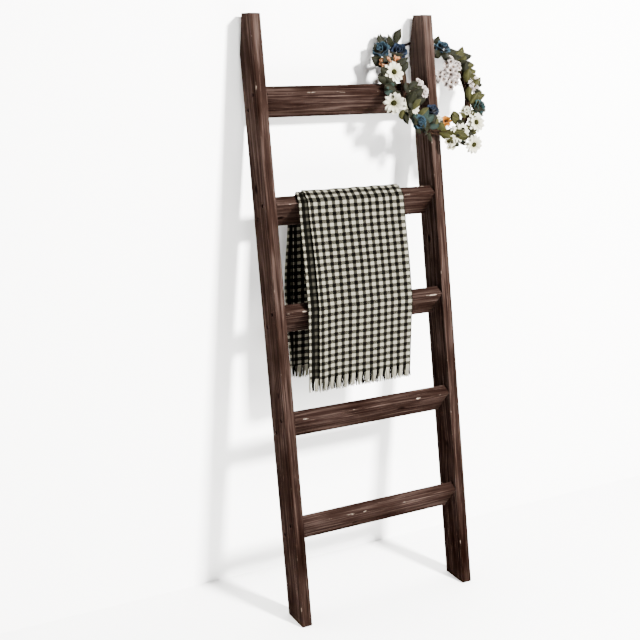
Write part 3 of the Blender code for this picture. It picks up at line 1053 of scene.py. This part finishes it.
def makeDome(name, radius, height, lift, material):
    deselectAll()
    bpy.ops.mesh.primitive_ico_sphere_add(subdivisions=3, radius=radius)
    dome = bpy.context.object
    dome.name = name
    for vertex in dome.data.vertices:   # seed heads stand up in rows
        bump = 1 + 0.09 * math.sin(vertex.co.x * 2600) * math.sin(vertex.co.y * 2600)
        vertex.co = Vector((vertex.co.x * bump, vertex.co.y * bump,
                            vertex.co.z * height / radius * bump + lift))
    dome.data.materials.append(material)
    return dome


def makeDaisy():
    dice = random.Random(8)
    cloth = petalCloth["daisyCream"]
    pieces = []
    for count, opened, radius, height, length, width in ((12, 84, 0.0035, -0.0028, 0.0205, 0.0085),
                                                         (11, 68, 0.0030, -0.0018, 0.0185, 0.0080)):
        petal = makePetal("daisyPetal", length, width, cloth, 0.10, -0.10, 0.35, 0.62, 0.10)
        pieces += ringOfPetals(petal, count, radius, height, opened, dice.uniform(0, tau), dice, 8)
        bpy.data.objects.remove(petal)
    daisy = finishPetals(pieces, "daisyPattern", 0.0005)
    heart = makeDome("daisyHeart", 0.0058, 0.0034, 0.0008, daisyHeart)
    smoothed(heart, 70)
    return joinPieces([daisy, heart], "daisyPattern")


def makeBlossom():
    dice = random.Random(4)
    cloth = petalCloth["peach"]
    pieces = []
    for count, opened, radius, height, length, width in ((7, 72, 0.0020, -0.0036, 0.0125, 0.0090),
                                                         (6, 46, 0.0015, -0.0030, 0.0110, 0.0080)):
        petal = makePetal("blossomPetal", length, width, cloth, 0.16, -0.16, 0.35, 0.62, 0.16)
        pieces += ringOfPetals(petal, count, radius, height, opened, dice.uniform(0, tau), dice, 10)
        bpy.data.objects.remove(petal)
    blossom = finishPetals(pieces, "blossomPattern", 0.0005)
    heart = makeDome("blossomHeart", 0.0026, 0.0024, -0.0006, blossomHeart)
    return joinPieces([blossom, heart], "blossomPattern")


def makeCluster():
    dice = random.Random(9)
    cloth = petalCloth["blush"]
    petal = makePetal("smallPetal", 0.0080, 0.0074, cloth, 0.25, -0.10, 0.45, 0.6, 0.0, (3, 4))
    pieces = []
    for x, y, z, opened in ((0, 0, 0.0015, 50), (0.0085, 0.0025, -0.001, 58), (-0.0075, 0.0050, -0.001, 55),
                            (0.0015, -0.0090, -0.0015, 60), (-0.0080, -0.0060, -0.002, 40),
                            (0.0050, 0.0095, -0.002, 45)):
        lean = Vector((x * 45, y * 45, 1)).normalized()
        for small in ringOfPetals(petal, 6, 0.0008, -0.0030, opened, dice.uniform(0, tau), dice, 14):
            small.matrix_world = facingMatrix(Vector((x, y, z)), lean)
            applyPlace(small)
            pieces.append(small)
    bpy.data.objects.remove(petal)
    cluster = finishPetals(pieces, "clusterPattern", 0.0004)
    hearts = []
    for x, y, z in ((0, 0, 0), (0.0085, 0.0025, -0.0025), (-0.0075, 0.0050, -0.0025),
                    (0.0015, -0.0090, -0.003)):
        heart = makeDome("clusterHeart", 0.0012, 0.0013, z, blossomHeart)
        heart.data.transform(Matrix.Translation((x, y, 0)))
        hearts.append(heart)
    return joinPieces([cluster] + hearts, "clusterPattern")


patterns = {
    "rose": makeRose(),
    "daisy": makeDaisy(),
    "orange_blossom": makeBlossom(),
    "white_blossom": makeCluster(),
}
petalShades = {
    "rose_2": "roseNavy", "rose_5": "roseTeal", "rose_6": "roseNavy",
    "orange_blossom_3": "amber", "white_blossom_4": "daisyCream",
}


def setFlower(name, kind, middle, way, size, shade):
    flower = copyOf(patterns[kind], facingMatrix(middle, way, dice.uniform(0, tau), size))
    flower.name = flower.data.name = name
    if shade:
        flower.data.materials[0] = petalCloth[shade]
    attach(flower, "wreath")
    return flower


dice = random.Random(21)
for name in sorted(nodes):
    kind = name.rstrip("0123456789").rstrip("_")
    if kind in patterns:
        nearest, middle, way, size = flowerPlace(name)
        flower = setFlower(f"{name}_petals", kind, middle, way, size, petalShades.get(name))
        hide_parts(name)
for number, (kind, shade, *plan) in enumerate(tuckedIn):
    nearest, middle, way, size = tuckedPlace(*plan)
    setFlower(f"tucked_{kind}_{number + 1}", kind, middle, way, size, shade)
for pattern in patterns.values():
    bpy.data.objects.remove(pattern)
print("flowers set")


def leafMaterial(name, dark, light, vein):
    material, tree, shader = newMaterial(name, 0.62, 0.05, 0.5, 0.0008)
    uv, across, up = uvPlace(tree)
    side = mathNode("ABSOLUTE", minus(across, 0.5))
    blot = noiseNode(objectPlace(tree), 90, 4)
    midrib = minus(1, times(side, 18), clamp=True)
    slant = minus(up, times(side, 0.8))
    ribs = mathNode("POWER", mathNode("ABSOLUTE", mathNode("SINE", times(slant, 22))), 12)
    veins = mathNode("MAXIMUM", midrib, times(ribs, 0.4))
    colour = mixColours(times(veins, 0.6), mixColours(blot, dark, light), vein)
    plug(shader.inputs["Base Color"], colour)
    plug(tree.nodes["bump"].inputs["Height"], minus(times(blot, 0.4), veins))
    return material


leafCloth = {
    "dark": leafMaterial("darkLeaf", (0.0007, 0.0008, 0.0002), (0.0042, 0.0045, 0.0013),
                         (0.010, 0.0098, 0.0036)),
    "olive": leafMaterial("oliveLeaf", (0.0032, 0.0034, 0.0007), (0.0170, 0.0165, 0.0038),
                          (0.036, 0.034, 0.0125)),
    "sage": leafMaterial("sageLeaf", (0.0010, 0.0032, 0.0026), (0.0062, 0.0120, 0.0092),
                         (0.019, 0.026, 0.0195)),
}


def makeLeaf(kind, narrow):
    leaf = makePetal("leafPattern", 1.0, 0.60 * narrow, leafCloth[kind], -0.28, -0.10, 0.10, 0.45, 0.0,
                     (6, 9))
    for vertex in leaf.data.vertices:   # a pointed tip and waved edges
        up = vertex.co.y
        vertex.co.x *= 1 - 0.40 * ease(0.62, 1.0, up)
        vertex.co.z += 0.022 * math.sin(up * 15) * abs(vertex.co.x) / 0.2
    return leaf


# degrees round the ring, out of it and towards the front, mm long, kind, width, and mm set out from the ring
leafPlan = [
    (-52, 75, 25, 44, "dark", 1.0, 34), (-38, 85, 22, 40, "dark", 1.1, 30),
    (-30, 20, 8, 40, "dark", 0.9, 16), (-60, 110, 18, 36, "dark", 1.0, 26),
    (-70, 120, 12, 36, "dark", 1.1, 26), (-80, 130, 8, 32, "sage", 1.0, 26),
    (-58, -60, 30, 30, "dark", 0.9, 16), (-48, 140, 20, 34, "dark", 1.0, 20),
    (-86, 60, 8, 36, "dark", 1.0, 20), (-94, 130, 22, 34, "dark", 1.0, 14),
    (-98, 20, 16, 32, "dark", 0.9, -10), (-104, -95, 22, 38, "dark", 1.0, -6),
    (-100, -60, 30, 36, "dark", 1.0, -8), (-112, 120, 20, 32, "olive", 0.9, 14),
    (-120, -60, 42, 34, "olive", 1.0, 0), (-118, 100, 30, 34, "dark", 1.0, 10),
    (-132, 130, 22, 28, "dark", 1.0, 10), (-134, -90, 44, 34, "olive", 0.9, 0),
    (-140, -110, 38, 34, "sage", 1.0, 0), (-148, -60, 40, 36, "sage", 1.1, 0),
    (-150, -140, 30, 34, "sage", 0.8, 0), (-156, 95, 18, 30, "dark", 0.9, 4),
    (-164, -80, 30, 36, "dark", 1.2, 0), (-170, -100, 24, 34, "sage", 1.0, 0),
    (-172, 140, 30, 36, "olive", 0.8, 0), (178, 165, 35, 46, "olive", 1.0, 0),
    (172, 140, 26, 46, "olive", 0.9, 4), (172, -40, 40, 34, "olive", 1.0, 0),
    (164, 100, 6, 40, "dark", 0.8, 6), (168, 120, 14, 32, "sage", 0.8, 6),
    (158, 150, 20, 34, "olive", 0.8, 0), (152, -95, 28, 36, "olive", 1.1, 0),
    (146, -60, 34, 36, "olive", 1.1, 0), (143, 80, 12, 34, "olive", 1.1, 6),
    (146, 30, 45, 30, "dark", 0.9, 0), (136, 60, 20, 34, "olive", 1.1, 6),
    (130, -50, 34, 32, "olive", 1.0, 0), (124, 110, 8, 30, "dark", 1.0, 8),
    (118, 70, 30, 32, "sage", 1.0, 6), (116, 160, 30, 40, "olive", 0.8, 0),
    (112, -150, 38, 36, "olive", 0.8, 0), (106, 120, 12, 38, "olive", 0.9, 6),
    (100, 150, 42, 38, "olive", 0.9, 0), (96, 170, 24, 40, "olive", 0.8, 4),
    (92, 60, 12, 30, "olive", 1.0, 6), (86, 110, 22, 34, "olive", 1.3, 4),
    (84, 175, 40, 34, "olive", 1.1, 0), (78, 170, 34, 34, "dark", 0.9, 0), (72, 90, 14, 32, "olive", 1.3, 4),
    (66, -60, 30, 30, "dark", 0.9, 0), (64, 130, 30, 32, "olive", 1.0, 0),
    (56, 125, 20, 46, "olive", 0.8, 0), (50, 85, 25, 32, "olive", 0.9, 0), (46, -90, 30, 34, "dark", 1.0, 0),
    (38, -60, 40, 38, "dark", 1.1, 0), (34, -110, 30, 40, "dark", 1.1, 0), (28, -80, 16, 34, "dark", 1.0, 0),
    (-56, 150, 34, 36, "dark", 1.1, 30), (-64, 60, 40, 34, "dark", 1.1, 30),
    (-74, 80, 24, 36, "dark", 1.0, 30), (-70, -40, 44, 32, "dark", 1.0, 14),
    (-44, -100, 24, 34, "dark", 1.1, 30), (-90, 120, 4, 32, "sage", 1.1, 26),
    (-92, -50, 16, 32, "dark", 1.1, -6), (-106, 110, 6, 34, "dark", 1.1, 14),
    (-110, -30, 40, 38, "dark", 1.1, 4), (-124, 20, 40, 34, "dark", 1.1, 4),
    (-138, 40, 34, 34, "dark", 1.1, 2), (-152, 60, 34, 34, "dark", 1.0, 0),
    (-160, -30, 30, 36, "dark", 1.1, 0), (-178, -60, 34, 34, "olive", 1.0, 0),
    (170, 60, 30, 36, "olive", 1.1, 0), (154, 40, 36, 34, "dark", 1.1, 0),
    (140, -20, 38, 34, "dark", 1.1, 0), (122, 20, 36, 34, "olive", 1.1, 0),
    (110, 60, 30, 36, "dark", 1.1, 0), (88, 30, 36, 36, "dark", 1.1, 0), (70, 40, 34, 34, "olive", 1.1, 0),
    (54, 30, 34, 34, "dark", 1.1, 0), (44, -30, 36, 36, "dark", 1.1, 0), (30, -30, 30, 36, "dark", 1.1, 0),
    (-56, 95, 4, 46, "dark", 1.3, 32), (-44, 62, 10, 44, "dark", 1.3, 32),
    (-34, 110, 8, 40, "dark", 1.2, 18), (-78, 95, 6, 38, "dark", 1.2, 30),
    (-88, -80, 12, 36, "dark", 1.2, -4), (-84, -110, 18, 36, "dark", 1.2, -4),
    (-96, 70, 8, 34, "dark", 1.2, 22), (-114, 150, 14, 32, "dark", 1.2, 10),
    (-126, -30, 20, 36, "dark", 1.2, 0), (-142, 10, 26, 36, "sage", 1.2, 4),
    (-158, 20, 30, 36, "dark", 1.2, 0), (174, 100, 16, 38, "dark", 1.0, 4),
    (166, 40, 22, 36, "olive", 1.2, 2), (150, 95, 10, 38, "dark", 1.1, 6),
    (134, 120, 10, 36, "olive", 1.1, 8), (114, 95, 10, 36, "dark", 1.1, 6),
    (98, 30, 20, 34, "olive", 1.2, 2), (80, 60, 18, 36, "dark", 1.1, 4), (62, 60, 18, 36, "olive", 1.1, 4),
    (48, 50, 16, 44, "dark", 0.9, 10), (36, 40, 16, 36, "dark", 1.2, 0), (26, 100, 10, 30, "dark", 1.0, 0),
    (40, 20, 26, 34, "dark", 1.0, 0), (60, -140, 34, 32, "dark", 1.0, 0),
]


def setLeaves():
    dice = random.Random(14)
    leaves = {kind: [] for kind in leafCloth}
    for turn, outTurn, lift, length, kind, narrow, outset in leafPlan:
        number = ringAt(turn)
        along, outward, front = ringSides(number)
        pattern = makeLeaf(kind, narrow)
        for tryNumber in range(6):   # a leaf that would grow into the wood or the wall is lifted
            run = growing(number, outTurn, min(85, lift + tryNumber * 12))
            face = (front - run * front.dot(run)).normalized()
            face = Matrix.Rotation(math.radians(dice.uniform(-28, 28)), 3, run) @ face
            side = run.cross(face)
            stand = ringPlaces[number] + outward * outset / 1000
            stand += (front * 0.55 + run * 0.35) * wreath["bundle"] * ringShares[number]
            turned = Matrix((side, run, face)).transposed().to_4x4()
            place = Matrix.Translation(stand) @ turned @ Matrix.Scale(length / 1000, 4)
            spots = [place @ vertex.co for vertex in pattern.data.vertices]
            if not any(insideWood(spot) or spot.y > cadBox[1].y - 0.002 for spot in spots):
                leaves[kind].append(copyOf(pattern, place))
                break
        bpy.data.objects.remove(pattern)
    made = []
    for kind, pieces in leaves.items():
        made.append(finishPetals(pieces, f"{kind}Leaves", 0.0006))
    return made


for leaves in setLeaves():
    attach(leaves, "wreath")
print("leaves set")

room = {
    "wallGap": 0.0012,      # behind the rack's furthest point
    "size": 12,
    "paint": (0.92, 0.92, 0.915),
}


def makePaint(name, seeThroughBehind):
    material, tree, shader = newMaterial(name, 0.9, 0.1)
    speckle = noiseNode(objectPlace(tree), 3, 2)
    plug(shader.inputs["Base Color"], mixColours(speckle, scaled(room["paint"], 0.985), room["paint"]))
    if seeThroughBehind:   # the wall is only seen and only casts shade from the front
        back = tree.nodes.new("ShaderNodeNewGeometry")
        clear = tree.nodes.new("ShaderNodeBsdfTransparent")
        mix = tree.nodes.new("ShaderNodeMixShader")
        plug(mix.inputs[0], back.outputs["Backfacing"])
        plug(mix.inputs[1], shader.outputs[0])
        plug(mix.inputs[2], clear.outputs[0])
        plug(tree.nodes["Material Output"].inputs["Surface"], mix.outputs[0])
    return material


deselectAll()
bpy.ops.mesh.primitive_plane_add(size=room["size"], location=(0, 0, 0))
floor = bpy.context.object
floor.name = "floor"
setMaterial(floor, makePaint("floorPaint", False))
deselectAll()
wallPlace = (0, cadBox[1].y + room["wallGap"], room["size"] / 2 - 0.5)
bpy.ops.mesh.primitive_plane_add(size=room["size"], location=wallPlace, rotation=(math.radians(90), 0, 0))
wall = bpy.context.object
wall.name = "wall"
setMaterial(wall, makePaint("wallPaint", True))

lamps = [   # place, aimed at, size, power, colour
    ((1.25, -3.3, 2.75), (0, 0, 0.7), 0.5, 1700, (1.0, 0.985, 0.965)),
    ((-0.5, -3.7, 2.6), (0, 0, 0.7), 1.2, 120, (1.0, 0.99, 0.98)),
]
for number, (place, aim, size, power, colour) in enumerate(lamps):
    way = (Vector(aim) - Vector(place)).to_track_quat("-Z", "Y").to_euler()
    bpy.ops.object.light_add(type="AREA", location=place, rotation=way)
    lamp = bpy.context.object
    lamp.name = f"softbox{number + 1}"
    lamp.data.size = size
    lamp.data.energy = power
    lamp.data.color = colour
world = bpy.data.worlds.new("studio")
bpy.context.scene.world = world
world.use_nodes = True
background = world.node_tree.nodes["Background"]
background.inputs["Color"].default_value = (0.96, 0.97, 1.0, 1)
# the studio looks pale where it's seen past the floor, but adds little light
seen = world.node_tree.nodes.new("ShaderNodeLightPath").outputs["Is Camera Ray"]
plug(background.inputs["Strength"], plus(times(seen, 2.4), 0.10))
print("room lit")
